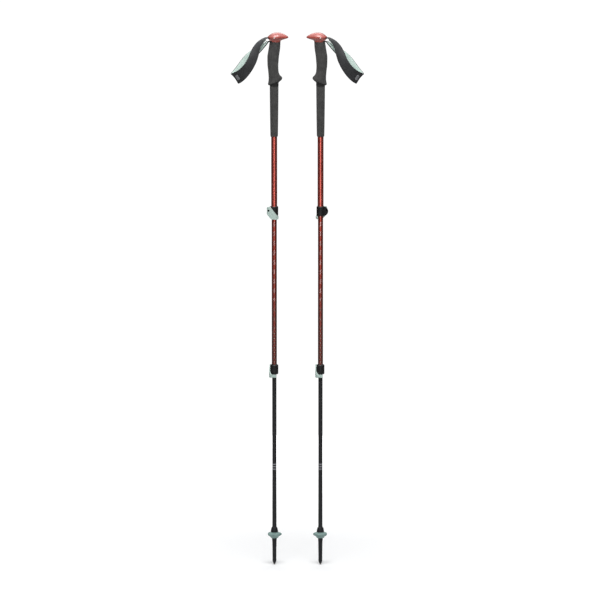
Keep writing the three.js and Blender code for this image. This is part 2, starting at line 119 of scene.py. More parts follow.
def overhead_shine(tree):
    """What shines sees a dark surround with a bright panel overhead."""
    split = tree.nodes.new("ShaderNodeSeparateXYZ")
    direction = tree.nodes.new("ShaderNodeTexCoord")
    tree.links.new(direction.outputs["Generated"], split.inputs[0])
    rise = tree.nodes.new("ShaderNodeMapRange")
    rise.interpolation_type = "SMOOTHSTEP"
    low, high = ZENITH_EDGE
    limits = {"From Min": low, "From Max": high, "To Min": WORLD_GLOSS, "To Max": WORLD_ZENITH}
    for socket, value in limits.items():
        rise.inputs[socket].default_value = value
    tree.links.new(split.outputs[2], rise.inputs["Value"])
    shine = background(tree, (0.97, 0.985, 1.0), WORLD_GLOSS)
    tree.links.new(rise.outputs[0], shine.node.inputs["Strength"])
    return shine


def make_world():
    """White behind the object, soft all round it, and its own light in what shines."""
    world = bpy.data.worlds.new("studio")
    bpy.context.scene.world = world
    world.use_nodes = True
    tree = world.node_tree
    tree.nodes.clear()
    path = tree.nodes.new("ShaderNodeLightPath")
    shade = background(tree, (0.94, 0.97, 1.0), WORLD_SOFT)
    for seen, other in (
        ("Is Glossy Ray", overhead_shine(tree)),
        ("Is Camera Ray", background(tree, (1, 1, 1), WORLD_BACKDROP)),
    ):
        either = tree.nodes.new("ShaderNodeMixShader")
        tree.links.new(path.outputs[seen], either.inputs[0])
        tree.links.new(shade, either.inputs[1])
        tree.links.new(other, either.inputs[2])
        shade = either.outputs[0]
    out = tree.nodes.new("ShaderNodeOutputWorld")
    tree.links.new(shade, out.inputs["Surface"])


def make_floor():
    """A round pale floor, whose own faint light brings it up to the white of the surround."""
    bpy.ops.mesh.primitive_circle_add(vertices=128, radius=FLOOR_RADIUS, fill_type="NGON")
    floor = bpy.context.object
    floor.name = "floor"
    look = Look("floor", {"Roughness": 0.9, "Specular IOR Level": 0.0})
    space = look.object_space()
    mottle = look.noise(space, 3.0, 2)
    look.set("Base Color", look.mix(mottle, (0.80, 0.80, 0.80), (0.83, 0.83, 0.83)))
    away = look.node("ShaderNodeVectorMath", "Value", {0: space}, operation="LENGTH")
    look.set("Emission Color", (1, 1, 1))
    glow = look.step(away, GLOW_START, FLOOR_RADIUS, *FLOOR_GLOW)
    seen = look.node("ShaderNodeLightPath", "Is Camera Ray", {})
    look.set("Emission Strength", look.math("MULTIPLY", glow, seen))
    floor.data.materials.append(look.material)


def make_studio():
    make_world()
    for light in LIGHTS:
        area_light(*light)
    make_floor()
    view = bpy.context.scene.view_settings
    view.view_transform = "Standard"
    view.look = "None"
    view.exposure = 0.0


# Looks

DOT_CORE = 0.7               # part of a printed dot's half width that is solid
MOULD_GRAIN = 900.0          # noise scales: the grain of a moulded surface,
STREAKS = (900, 9)           # and of a drawn tube's streaks, across and along it


def rgba(color):
    return (*color[:3], 1.0)


class Look:
    """A principled material and the few nodes that its patterns are made from."""

    def __init__(self, name, constants):
        self.material = bpy.data.materials.new(name)
        self.material.use_nodes = True
        self.tree = self.material.node_tree
        self.shader = self.tree.nodes["Principled BSDF"]
        for socket, value in constants.items():
            self.set(socket, value)

    def feed(self, socket, value):
        if isinstance(value, bpy.types.NodeSocket):
            self.tree.links.new(value, socket)
        elif socket.type == "RGBA":
            socket.default_value = rgba(value)
        else:
            socket.default_value = value

    def set(self, socket, value):
        self.feed(self.shader.inputs[socket], value)

    def node(self, kind, output, inputs, **settings):
        node = self.tree.nodes.new(kind)
        for key, value in settings.items():
            setattr(node, key, value)
        for key, value in inputs.items():
            self.feed(node.inputs[key], value)
        return node.outputs[output]

    def math(self, operation, a, b=0.0, c=0.0):
        return self.node("ShaderNodeMath", 0, {0: a, 1: b, 2: c}, operation=operation)

    def object_space(self):
        return self.node("ShaderNodeTexCoord", "Object", {})

    def uv(self):
        """(distance round or across, distance along), in metres."""
        both = self.node("ShaderNodeUVMap", 0, {}, uv_map="UVMap")
        split = self.tree.nodes.new("ShaderNodeSeparateXYZ")
        self.tree.links.new(both, split.inputs[0])
        return split.outputs[0], split.outputs[1]

    def vector(self, x, y, z=0.0):
        return self.node("ShaderNodeCombineXYZ", 0, {0: x, 1: y, 2: z})

    def noise(self, vector, scale, detail=3, roughness=0.5):
        inputs = {"Vector": vector, "Scale": scale, "Detail": detail, "Roughness": roughness}
        return self.node("ShaderNodeTexNoise", 0, inputs)

    def cells(self, vector, scale):
        return self.node("ShaderNodeTexVoronoi", "Distance", {"Vector": vector, "Scale": scale})

    def step(self, value, low, high, start=0.0, end=1.0):
        """start below low, end above high, and a smooth rise between them."""
        inputs = {"Value": value, "From Min": low, "From Max": high, "To Min": start, "To Max": end}
        return self.node("ShaderNodeMapRange", 0, inputs, interpolation_type="SMOOTHSTEP")

    def mix(self, factor, a, b):
        return self.node("ShaderNodeMix", 2, {0: factor, 6: a, 7: b}, data_type="RGBA")

    def bump(self, height, distance, strength):
        inputs = {"Height": height, "Distance": distance, "Strength": strength}
        self.set("Normal", self.node("ShaderNodeBump", 0, inputs))

    def dot(self, across, along, period, width, height, phase=0.0):
        """A row of soft-edged dots along the piece: 1 inside a dot and 0 outside."""
        place = self.math("PINGPONG", self.math("ADD", along, phase), period / 2)
        tall = self.step(place, height * DOT_CORE, height, 1, 0)
        wide = self.step(self.math("ABSOLUTE", across), width * DOT_CORE, width, 1, 0)
        return self.math("MULTIPLY", tall, wide)


def plastic(name, low, high, roughness, gloss, coat=0.0, scale=60.0):
    """Moulded plastic: a fine grain, slight mottling and scuffs that are a little duller."""
    look = Look(name, {"Specular IOR Level": gloss})
    space = look.object_space()
    look.bump(look.noise(space, MOULD_GRAIN, 2), 0.01 * MM, 0.3)
    cloud = look.step(look.noise(space, scale, 4, 0.6), 0.35, 0.65)
    look.set("Base Color", look.mix(cloud, low, high))
    scuff = look.noise(space, scale * 4, 3, 0.7)
    look.set("Roughness", look.step(scuff, 0.3, 0.7, roughness - 0.06, roughness + 0.08))
    if coat:
        look.set("Coat Weight", coat)
        look.set("Coat Roughness", 0.3)
    return look


def drawn_streaks(look, across, along):
    """The fine streaks that drawing leaves along a tube."""
    fine, slow = STREAKS
    stretched = look.vector(look.math("MULTIPLY", across, fine), look.math("MULTIPLY", along, slow))
    streak = look.noise(stretched, 1.0, 4)
    look.bump(streak, 0.004 * MM, 0.2)
    return streak


def anodised(name, low, high, roughness):
    """Drawn aluminium tube under a dyed oxide: its colour, and where its patterns are placed."""
    look = Look(name, {"Metallic": 1.0})
    across, along = look.uv()
    streak = drawn_streaks(look, across, along)
    look.set("Roughness", look.step(streak, 0.3, 0.7, roughness - 0.04, roughness + 0.06))
    return look, look.mix(look.step(streak, 0.3, 0.7), low, high), across, along


def knob_look():
    look = plastic("knob_red", (0.30, 0.050, 0.037), (0.345, 0.064, 0.047), 0.34, 0.5, 0.5, 40.0)
    return look.material


FLANGE_FOLD = 1.2612         # height of the fold between the grip's flange and its sleeve
FOLD_PAINTED_SHADE = (3.5 * MM, 7.5 * MM)    # how far from the fold its painted shade begins to fade and ends


def foam_look():
    look = Look("grip_foam", {"Roughness": 0.92, "Specular IOR Level": 0.25})
    space = look.object_space()
    cells = look.cells(space, 900)
    cloud = look.noise(space, 70, 5, 0.65)
    tone = look.step(cloud, 0.3, 0.7)
    base = look.mix(tone, (0.038, 0.0372, 0.0365), (0.058, 0.057, 0.055))
    _, along = look.uv()
    fold = look.math("ABSOLUTE", look.math("SUBTRACT", along, FLANGE_FOLD))
    # Painted shade: the foam's colour darkens to near black at the fold under the flange, where shadow
    # falls.
    base = look.mix(look.step(fold, *FOLD_PAINTED_SHADE, 0.85, 0), base, (0.008, 0.008, 0.008))
    look.set("Base Color", base)
    height = look.math("MULTIPLY_ADD", cloud, 0.6, cells)
    look.bump(height, 0.10 * MM, 0.35)
    look.set("Sheen Weight", 0.12)
    look.set("Sheen Roughness", 0.5)
    return look.material


WEBBING_PITCH = 1.1 * MM
LINING_PITCH = 1.6 * MM
PATCH_PITCH = 0.9 * MM


def weave(look, across, along, pitch, depth):
    """A plain weave's over-and-under height, from distances in metres."""
    turn = 2 * math.pi / pitch
    warp = look.math("SINE", look.math("MULTIPLY", across, turn))
    weft = look.math("SINE", look.math("MULTIPLY", along, turn))
    height = look.math("MULTIPLY", warp, weft)
    look.bump(height, depth, 0.3)
    return height


def webbing_look():
    look = Look("strap_webbing", {"Roughness": 0.62, "Specular IOR Level": 0.35})
    across, along = look.uv()
    height = weave(look, across, along, WEBBING_PITCH, 0.02 * MM)
    cloud = look.noise(look.object_space(), 45, 4)
    shade = look.math("MULTIPLY_ADD", height, 0.12, cloud)
    tone = look.step(shade, 0.3, 0.75)
    look.set("Base Color", look.mix(tone, (0.013, 0.0135, 0.0145), (0.025, 0.026, 0.028)))
    look.set("Sheen Weight", 0.15)
    look.set("Sheen Roughness", 0.4)
    return look.material


def lining_look():
    look = Look("strap_lining", {"Roughness": 0.9, "Specular IOR Level": 0.2})
    across, along = look.uv()
    height = weave(look, across, along, LINING_PITCH, 0.03 * MM)
    cloud = look.noise(look.object_space(), 60, 4)
    shade = look.math("MULTIPLY_ADD", height, 0.1, cloud)
    tone = look.step(shade, 0.25, 0.75)
    look.set("Base Color", look.mix(tone, (0.44, 0.55, 0.50), (0.53, 0.63, 0.585)))
    look.set("Sheen Weight", 0.3)
    return look.material


def patch_look():
    look = Look("strap_patch", {"Roughness": 0.5})
    across, along = look.uv()
    height = weave(look, across, along, PATCH_PITCH, 0.01 * MM)
    tone = look.step(height, -1, 1)
    look.set("Base Color", look.mix(tone, (0.12, 0.123, 0.128), (0.19, 0.195, 0.20)))
    return look.material


def upper_look():
    look, base, _, _ = anodised("upper_anodised", (0.70, 0.14, 0.11), (0.80, 0.17, 0.135), 0.34)
    look.set("Base Color", base)
    return look.material


PAINTED_SHADE_TOP = 0.8995          # below this height painted shade darkens the middle tube toward its foot
MARK_PERIOD = 24.9 * MM      # of the printed marks down the middle and lower tubes
MARK_HEIGHT = 0.873          # of the middle of one mark on the middle tube
WAVE_LENGTH = 6.2 * MM
WAVE_SWING = 1.0 * MM
WAVE_LINE = (0.5 * MM, 1.1 * MM)    # a wave's line is solid to the first and gone at the second
WAVE_HALF = (6.0 * MM, 6.8 * MM)    # and so is half its height
SPECKS_APART = 4.3 * MM      # from the front of the middle tube to the specks beside a wave
MESH_TOP = 0.698             # where the waves end and the mesh begins
DOTS_TOP = 0.622             # where the mesh closes up into rows of dots
MIDDLE_RADIUS = 6.6 * MM
COLUMNS = 6
BARS_HEIGHT = 0.26           # of the plain bars on the lower tube
BAR_PITCH = 3.2 * MM
BAR_LINE = (0.9 * MM, 1.2 * MM)
BARS_REACH = (7.6 * MM, 7.8 * MM)
BARS_HALF = (5.4 * MM, 5.8 * MM)


def middle_look(bottom):
    """The dyed tube with painted shade that darkens it downward, small printed waves above and a mesh of
    dots below.
    """
    red = (0.52, 0.088, 0.064), (0.59, 0.104, 0.077)
    look, base, across, along = anodised("middle_anodised", *red, 0.34)
    # Painted shade: the base colour darkens and dulls from the given height down to the tube's foot, as
    # if less light reached it.
    base = look.mix(look.step(along, bottom, PAINTED_SHADE_TOP, 1, 0), base, (0.26, 0.078, 0.066))
    height = look.math("SUBTRACT", along, MARK_HEIGHT)

    near = look.math("PINGPONG", height, MARK_PERIOD / 2)
    swing = look.math("SINE", look.math("MULTIPLY", height, 2 * math.pi / WAVE_LENGTH))
    offset = look.math("ABSOLUTE", look.math("MULTIPLY_ADD", swing, WAVE_SWING, across))
    wave = look.step(offset, *WAVE_LINE, 1, 0)
    wave = look.math("MULTIPLY", wave, look.step(near, *WAVE_HALF, 1, 0))
    beside = look.math("SUBTRACT", look.math("ABSOLUTE", across), SPECKS_APART)
    wave = look.math("MAXIMUM", wave, look.dot(beside, height, MARK_PERIOD, 0.7 * MM, 0.9 * MM))
    wave = look.math("MULTIPLY", wave, look.step(along, MESH_TOP, MESH_TOP + MM))
    base = look.mix(wave, base, (0.66, 0.47, 0.45))

    column = 2 * math.pi * MIDDLE_RADIUS / COLUMNS
    rise = look.math("MULTIPLY", near, 2 * column / MARK_PERIOD)
    fence = look.math("SUBTRACT", rise, look.math("PINGPONG", across, column))
    beads = look.dot(fence, height, MARK_PERIOD / 8, 1.0 * MM, 1.0 * MM)
    beads = look.math("MULTIPLY", beads, look.step(along, MESH_TOP, MESH_TOP + MM, 1, 0))
    beads = look.math("MULTIPLY", beads, look.step(along, DOTS_TOP, DOTS_TOP + MM))
    row = MARK_PERIOD / 2
    at_column = look.math("PINGPONG", across, column / 2)
    between = look.math("PINGPONG", look.math("ADD", across, column / 2), column / 2)
    dots = look.math(
        "MAXIMUM",
        look.dot(at_column, height, row, 1.3 * MM, 1.6 * MM),
        look.dot(between, height, row, 1.3 * MM, 1.6 * MM, row / 2),
    )
    dots = look.math("MULTIPLY", dots, look.step(along, DOTS_TOP, DOTS_TOP + MM, 1, 0))
    dots = look.math("MAXIMUM", dots, beads)
    look.set("Base Color", look.mix(dots, base, (0.30, 0.31, 0.26)))
    return look.material


def lower_look():
    """Black tube with specks beside the front at each mark, and plain bars low down."""
    look = Look("lower_anodised", {"Metallic": 0.3, "Specular IOR Level": 0.4})
    across, along = look.uv()
    streak = drawn_streaks(look, across, along)
    base = look.mix(look.step(streak, 0.3, 0.7), (0.010, 0.010, 0.011), (0.017, 0.017, 0.0185))
    beside = look.math("SUBTRACT", look.math("ABSOLUTE", across), 4.6 * MM)
    speck = look.dot(beside, look.math("SUBTRACT", along, BARS_HEIGHT), MARK_PERIOD, 0.4 * MM, 0.7 * MM)
    speck = look.math("MULTIPLY", speck, look.step(along, BARS_HEIGHT, BARS_HEIGHT + 20 * MM))
    height = look.math("ABSOLUTE", look.math("SUBTRACT", along, BARS_HEIGHT))
    bars = look.step(look.math("PINGPONG", height, BAR_PITCH), *BAR_LINE, 1, 0)
    bars = look.math("MULTIPLY", bars, look.step(height, *BARS_REACH, 1, 0))
    bars = look.math("MULTIPLY", bars, look.step(look.math("ABSOLUTE", across), *BARS_HALF, 1, 0))
    base = look.mix(look.math("MULTIPLY", speck, 0.5), base, (0.30, 0.30, 0.32))
    look.set("Base Color", look.mix(bars, base, (0.36, 0.36, 0.39)))
    look.set("Roughness", look.step(streak, 0.3, 0.7, 0.44, 0.54))
    return look.material


def steel_look(name, low, high):
    look = Look(name, {"Metallic": 1.0})
    space = look.object_space()
    scratch = look.noise(space, 1400, 3)
    look.set("Base Color", look.mix(look.step(scratch, 0.3, 0.7), low, high))
    look.set("Roughness", look.step(scratch, 0.3, 0.7, 0.24, 0.38))
    look.bump(scratch, 0.02 * MM, 0.3)
    return look.material


def carbide_look():
    look = Look("carbide", {"Metallic": 1.0})
    space = look.object_space()
    grit = look.noise(space, 2200, 3)
    look.set("Base Color", look.mix(look.step(grit, 0.3, 0.7), (0.14, 0.13, 0.12), (0.22, 0.21, 0.2)))
    look.set("Roughness", look.step(grit, 0.3, 0.7, 0.35, 0.5))
    look.bump(grit, 0.03 * MM, 0.4)
    return look.material


# Meshes


def mesh_object(name, points, faces, uvs=None):
    """A smooth mesh object in the part's frame. uvs has one (u, v) for each face corner."""
    mesh = bpy.data.meshes.new(name)
    mesh.from_pydata([tuple(p) for p in points], [], faces)
    if uvs is not None:
        layer = mesh.uv_layers.new(name="UVMap")
        layer.data.foreach_set("uv", [value for corner in uvs for value in corner])
    mesh.polygons.foreach_set("use_smooth", [True] * len(mesh.polygons))
    mesh.update()
    obj = bpy.data.objects.new(name, mesh)
    bpy.context.scene.collection.objects.link(obj)
    return obj


def smooth_by_angle(obj, degrees=32.0):
    obj.data.set_sharp_from_angle(angle=math.radians(degrees))


def finish_piece(obj, body, material, node):
    obj.data.materials.clear()
    obj.data.materials.append(material)
    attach(obj, body)
    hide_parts(node)


def grid(rows, us, vs, cap_start=False, cap_end=False):
    """Faces and corner UVs over closed rings of equal length: us has one more value than a ring."""
    count = len(rows[0])
    points = [p for row in rows for p in row]
    faces = []
    uvs = []
    for r in range(len(rows) - 1):
        for i in range(count):
            j = (i + 1) % count
            low = r * count
            high = low + count
            faces.append((low + i, low + j, high + j, high + i))
            uvs += [(us[i], vs[r]), (us[i + 1], vs[r]), (us[i + 1], vs[r + 1]), (us[i], vs[r + 1])]
    if cap_start:
        faces.append(tuple(reversed(range(count))))
        uvs += [(us[i], vs[0]) for i in reversed(range(count))]
    if cap_end:
        last = (len(rows) - 1) * count
        faces.append(tuple(range(last, last + count)))
        uvs += [(us[i], vs[-1]) for i in range(count)]
    return points, faces, uvs


def lathe(name, axis, profile, segments=96, hollow=False):
    """A solid of revolution about the vertical line through axis, from (radius, height) points."""
    x, y = axis
    rings = list(profile) + ([profile[0]] if hollow else [])
    widest = max(radius for radius, _ in profile)
    angles = [-math.pi / 2 + 2 * math.pi * (i / segments - 0.5) for i in range(segments + 1)]
    us = [(angle + math.pi / 2) * widest for angle in angles]
    rows = [
        [(x + r * math.cos(a), y + r * math.sin(a), z) for a in angles[:-1]] for r, z in rings
    ]
    points, faces, uvs = grid(rows, us, [z for _, z in rings], not hollow, not hollow)
    return mesh_object(name, points, faces, uvs)


WELD_DISTANCE = 1e-7


def welded(obj):
    """Merges points that coincide, as at a ring of no radius or a closed profile's seam."""
    work = bmesh.new()
    work.from_mesh(obj.data)
    bmesh.ops.remove_doubles(work, verts=work.verts, dist=WELD_DISTANCE)
    bmesh.ops.dissolve_degenerate(work, edges=work.edges, dist=WELD_DISTANCE)
    bmesh.ops.recalc_face_normals(work, faces=work.faces)
    work.to_mesh(obj.data)
    work.free()
    return obj


def apply_modifiers(obj):
    graph = bpy.context.evaluated_depsgraph_get()
    graph.update()
    mesh = bpy.data.meshes.new_from_object(obj.evaluated_get(graph))
    obj.modifiers.clear()
    old = obj.data
    obj.data = mesh
    bpy.data.meshes.remove(old)


MOULD_VOXEL = 0.35 * MM
MOULD_PASSES = 6


def moulded(name, node):
    """A finer copy of a CAD piece, with its edges rounded as a mould leaves them."""
    obj = bpy.data.objects.new(name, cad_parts[node].data.copy())
    obj.data.materials.clear()
    bpy.context.scene.collection.objects.link(obj)
    remesh = obj.modifiers.new("remesh", "REMESH")
    remesh.mode = "VOXEL"
    remesh.voxel_size = MOULD_VOXEL
    soften = obj.modifiers.new("soften", "SMOOTH")
    soften.factor = 0.5
    soften.iterations = MOULD_PASSES
    apply_modifiers(obj)
    obj.data.polygons.foreach_set("use_smooth", [True] * len(obj.data.polygons))
    obj.data.update()
    return obj


def subtract(obj, tool):
    cut = obj.modifiers.new("cut", "BOOLEAN")
    cut.operation = "DIFFERENCE"
    cut.solver = "EXACT"
    cut.object = tool
    apply_modifiers(obj)
    mesh = tool.data
    bpy.data.objects.remove(tool)
    bpy.data.meshes.remove(mesh)


def catmull(values, t):
    """A smooth curve through equally spaced values; t runs from 0 to 1."""
    last = len(values) - 1
    at = min(max(t, 0.0), 1.0) * last
    i = min(int(at), last - 1)
    f = at - i
    a = values[max(i - 1, 0)]
    b = values[i]
    c = values[i + 1]
    d = values[min(i + 2, last)]
    out = []
    for p, q, r, s in zip(a, b, c, d):
        square = (2 * p - 5 * q + 4 * r - s) * f * f
        cube = (3 * q - p - 3 * r + s) * f ** 3
        out.append(0.5 * (2 * q + (r - p) * f + square + cube))
    return out


def place(points, axis, turned):
    """Pole points, in millimetres from its own axis, in the part's frame."""
    x, y = axis
    sign = -1 if turned else 1
    return [(x + sign * px * MM, y + sign * py * MM, pz * MM) for px, py, pz in points]


EGG_SIDES = 96
EGG_STEPS = 10
EGG_GIRTH = 2 * math.pi * 14 * MM


def egg_loft(name, rings, axis, turned):
    """A smooth body over level egg-shaped rings of (z, rear, front, half, taper, lift)."""
    count = (len(rings) - 1) * EGG_STEPS
    rows = []
    heights = []
    for k in range(count + 1):
        z, rear, front, half, taper, lift = catmull(rings, k / count)
        row = []
        for i in range(EGG_SIDES):
            angle = 2 * math.pi * i / EGG_SIDES
            ahead = math.cos(angle)
            across = half * math.sin(angle) * (1 - taper * ahead)
            row.append(((rear + front) / 2 + (front - rear) / 2 * ahead, across, z + lift * ahead))
        rows.append(place(row, axis, turned))
        heights.append(z * MM)
    us = [EGG_GIRTH * i / EGG_SIDES for i in range(EGG_SIDES + 1)]
    points, faces, uvs = grid(rows, us, heights, True, True)
    return mesh_object(name, points, faces, uvs)


def block(name, low, high, axis, turned):
    corners = [(x, y, z) for z in (low[2], high[2]) for x, y in (
        (low[0], low[1]), (high[0], low[1]), (high[0], high[1]), (low[0], high[1]))]
    faces = [(3, 2, 1, 0), (4, 5, 6, 7), (0, 1, 5, 4), (1, 2, 6, 5), (2, 3, 7, 6), (3, 0, 4, 7)]
    return mesh_object(name, place(corners, axis, turned), faces)


ROD_SIDES = 32


def rod_across(name, radius, half, x, z, axis, turned):
    """A rod along Y, in the pole's own millimetres."""
    rows = []
    for y in (-half, half):
        row = []
        for i in range(ROD_SIDES):
            angle = 2 * math.pi * i / ROD_SIDES
            row.append((x + radius * math.cos(angle), y, z + radius * math.sin(angle)))
        rows.append(place(row, axis, turned))
    points, faces, _ = grid(rows, [0] * (ROD_SIDES + 1), [0, 1], True, True)
    return welded(mesh_object(name, points, faces))


# Knob and grip, in the pole's own millimetres: z, rear, front, half width, taper, lift

KNOB_RINGS = [
    (1371.5, -10.6, 16.6, 12.8, 0, 0),
    (1374, -11.2, 17.2, 13, 0.05, 0),
    (1376, -12.4, 20, 13.5, 0.12, 0),
    (1377.8, -13.9, 25.6, 14.5, 0.2, 0),
    (1379.6, -15.3, 31.6, 15.7, 0.28, 0),
    (1381.4, -16.4, 35.6, 16.8, 0.32, 0),
    (1383, -16.9, 36.8, 17.3, 0.32, 0),
    (1384.6, -16.5, 36.2, 17.2, 0.32, 0),
    (1386.9, -14, 33.7, 16.3, 0.3, 0),
    (1389.5, -11, 29.5, 14.5, 0.26, 0),
    (1391.9, -7.8, 25.2, 12.1, 0.2, 0),
    (1393.9, -4, 20, 9.1, 0.1, 0),
    (1395.1, 0.2, 15, 5.4, 0, 0),
    (1395.5, 4.2, 11, 2.2, 0, 0),
]
GRIP_RINGS = [
    (1258.3, -11.9, 11.8, 11.6, 0, 0),
    (1262.4, -12.2, 12, 11.8, 0, 3.7),
    (1265.2, -15, 17, 13, 0, 5.6),
    (1268, -15.9, 20.2, 13.5, 0, 6.6),
    (1271, -15.8, 21, 13.6, 0, 7),
    (1274, -15.1, 19.8, 13.4, 0, 6.8),
    (1277.4, -14.5, 17, 13.1, 0, 6),
    (1281.6, -14.2, 14.6, 12.8, 0, 4.8),
    (1286.6, -14.4, 12.8, 12.5, 0, 3.4),
    (1293, -15, 11.6, 12.4, 0, 2),
    (1301, -15.9, 11.1, 12.6, 0, 0.8),
    (1312, -17.2, 11, 13, 0, 0),
    (1332, -17.5, 12.5, 13.2, 0, 0),
    (1343, -16.1, 14, 13, 0, 0),
    (1354, -14.2, 15.6, 12.8, 0, 0),
    (1364, -12.6, 16.3, 12.7, 0, 0),
    (1371.2, -11.4, 16.5, 12.7, 0, 0),
]
# The knob's hollow for the strap, as opposite corners of two blocks, and the bore for the pin.
POCKET_LOW = ((-22, -10.3, 1365.5), (4, 10.3, 1382.8))
POCKET_HIGH = ((-7, -10.3, 1375.5), (4, 10.3, 1386.1))
PIN_BORE = {"radius": 1.9, "half": 20, "x": 0.4, "z": 1382.9}

# The lower sleeve: radii, and heights above its foot.
SLEEVE_PROFILE = [
    (8.7, 0), (9.1, 0.3), (9.5, 1.2), (9.9, 4), (10.4, 34), (10.8, 66), (11.2, 103),
]
SLEEVE_TOP_RADIUS = 11.4
SLEEVE_GAP = 0.05            # from the sleeve to the grip above it


def make_knob(side, axis, turned, looks):
    obj = egg_loft(f"{side}_knob_shell", KNOB_RINGS, axis, turned)
    subtract(obj, block("pocket_low", *POCKET_LOW, axis, turned))
    subtract(obj, block("pocket_high", *POCKET_HIGH, axis, turned))
    subtract(obj, rod_across("pin_bore", **PIN_BORE, axis=axis, turned=turned))
    smooth_by_angle(obj)
    finish_piece(obj, f"{side}_handle", looks["knob"], f"{side}_knob")


def make_grip(side, axis, turned, looks, bore):
    obj = egg_loft(f"{side}_grip_foam", GRIP_RINGS, axis, turned)
    subtract(obj, lathe("grip_bore", axis, [(bore, 1.2), (bore, 1.4)], 64))
    smooth_by_angle(obj, 50)
    finish_piece(obj, f"{side}_handle", looks["foam"], f"{side}_foam_grip")

    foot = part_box(f"{side}_foam_extension")[0].z
    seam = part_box(f"{side}_foam_grip")[0].z - SLEEVE_GAP * MM
    profile = [(bore, seam), (bore, foot)]
    profile += [(r * MM, foot + h * MM) for r, h in SLEEVE_PROFILE]
    profile += [(SLEEVE_TOP_RADIUS * MM, seam)]
    sleeve = lathe(f"{side}_grip_sleeve", axis, profile, hollow=True)
    smooth_by_angle(welded(sleeve), 40)
    finish_piece(sleeve, f"{side}_handle", looks["foam"], f"{side}_foam_extension")


# Wrist strap: x, y, z, twist and width, in the pole's own millimetres and degrees

STRAP_ROUTE = [
    (-20.5, 0, 1380.1, 8, 18),
    (-25, -0.4, 1377.4, 16, 18.5),
    (-31.5, -1.6, 1372.5, 26, 19.5),
    (-38.5, -4, 1365.3, 38, 20.5),
    (-45, -8, 1354.8, 53, 22),
    (-50.5, -12, 1341.1, 71, 23.5),
    (-56.5, -14.6, 1325.4, 85, 24.5),
    (-66, -15.4, 1308.3, 90, 26),
    (-78, -13.2, 1293.1, 90, 28.5),
    (-90.5, -7.6, 1282.2, 90, 31.5),
    (-99.8, 0, 1277.7, 90, 33),
    (-92.5, 8, 1287.4, 90, 32),
    (-83, 13, 1301.6, 90, 29),
    (-73.5, 14.8, 1316.8, 88, 26.5),
    (-62, 13.6, 1331.1, 78, 24.5),
    (-49, 10, 1343.4, 58, 22.5),
    (-37, 5.6, 1352.9, 36, 20.5),
    (-27, 2, 1361, 18, 19),
    (-20, 0.4, 1367.7, 7, 18.5),
    (-16.2, 0, 1372.1, 3, 18),
]
# Inside the knob the band meets the stubs of webbing that pass round the pin.
STRAP_IN = [(-12.8, 0, 1380.7, 0, 18), (-16.6, 0, 1380.6, 1.5, 18)]
STRAP_BACK = [(-13.4, 0, 1373.2, 1, 17.9), (-10.8, 0, 1373.7, 0, 17.8)]
STRAP_PATH = STRAP_IN + STRAP_ROUTE + STRAP_BACK
STRAP_EDGE = Vector((0.6, 0, -0.8))      # across the band where it is turned fully sideways
STRAP_LAST = len(STRAP_PATH) - 1
STRAP_STEPS = 8
FACE_STEPS = 6
EDGE_STEPS = 5
ROUTE_NUDGE = 0.001                      # along the route, to find which way it runs

# The three bands: start and end as stops on the route, how much narrower than the webbing at
# each side, inner and outer face, and the depth of the rounded edge, in millimetres.
WEBBING_BAND = {"start": 0, "end": STRAP_LAST, "inset": 0, "inner": 0.15, "outer": 2.05, "rim": 0.9}
LINING_BAND = {
    "start": 2.6, "end": STRAP_LAST - 2.2, "inset": 0.8, "inner": -2.3, "outer": -0.15, "rim": 1.0,
}
PATCH_BAND = {"start": 11.0, "end": 11.5, "inset": 9, "inner": 2.35, "outer": 2.85, "rim": 0.3}


def strap_section(half, inner, outer, rim):
    """A flat band's section: (across, out) points, with round edges."""
    thick = (outer - inner) / 2
    middle = (outer + inner) / 2
    flat = half - rim
    points = []
    for sign, face in ((1, outer), (-1, inner)):
        for k in range(FACE_STEPS + 1):
            points.append((sign * (flat - 2 * flat * k / FACE_STEPS), face))
        for k in range(1, EDGE_STEPS):
            angle = sign * math.pi / 2 + math.pi * k / EDGE_STEPS
            edge = middle + thick * math.sin(angle)
            points.append((-sign * flat + rim * math.cos(angle), edge))
    return points


def strap_frame(t):
    """The middle of the strap at t, the directions across it and out of it, and its width."""
    x, y, z, twist, width = catmull(STRAP_PATH, t)
    ahead = catmull(STRAP_PATH, min(t + ROUTE_NUDGE, 1))
    behind = catmull(STRAP_PATH, max(t - ROUTE_NUDGE, 0))
    along = (Vector(ahead[:3]) - Vector(behind[:3])).normalized()
    turn = math.radians(twist)
    across = Vector((0, -math.cos(turn), 0)) + STRAP_EDGE * math.sin(turn)
    across = (across - along * across.dot(along)).normalized()
    return Vector((x, y, z)), across, along.cross(across), width


def strap_band(name, axis, toward, start, end, inset, inner, outer, rim):
    """A band along the strap's route, from one stop on it to another."""
    count = round((end - start) * STRAP_STEPS)
    rows = []
    vs = []
    length = 0.0
    area = 0.0
    before = None
    us = None
    for k in range(count + 1):
        t = (start + (end - start) * k / count) / STRAP_LAST
        here, across, out, width = strap_frame(t)
        half = width / 2 - inset
        section = strap_section(half, inner, outer, rim)
        row = []
        for a, b in section:
            p = here + across * a + out * b
            row.append((axis[0] + toward * p.x * MM, axis[1] + p.y * MM, p.z * MM))
        rows.append(row)
        if before is not None:
            step = (here - before).length * MM
            length += step
            area += step * 2 * half * MM
        before = here
        vs.append(length)
        if us is None:
            us = [a * MM for a, _ in section] + [section[0][0] * MM]
    points, faces, uvs = grid(rows, us, vs, True, True)
    if toward > 0:
        faces = [tuple(reversed(f)) for f in faces]
        flipped = []
        at = 0
        for f in faces:
            flipped += list(reversed(uvs[at:at + len(f)]))
            at += len(f)
        uvs = flipped
    return mesh_object(name, points, faces, uvs), length, area


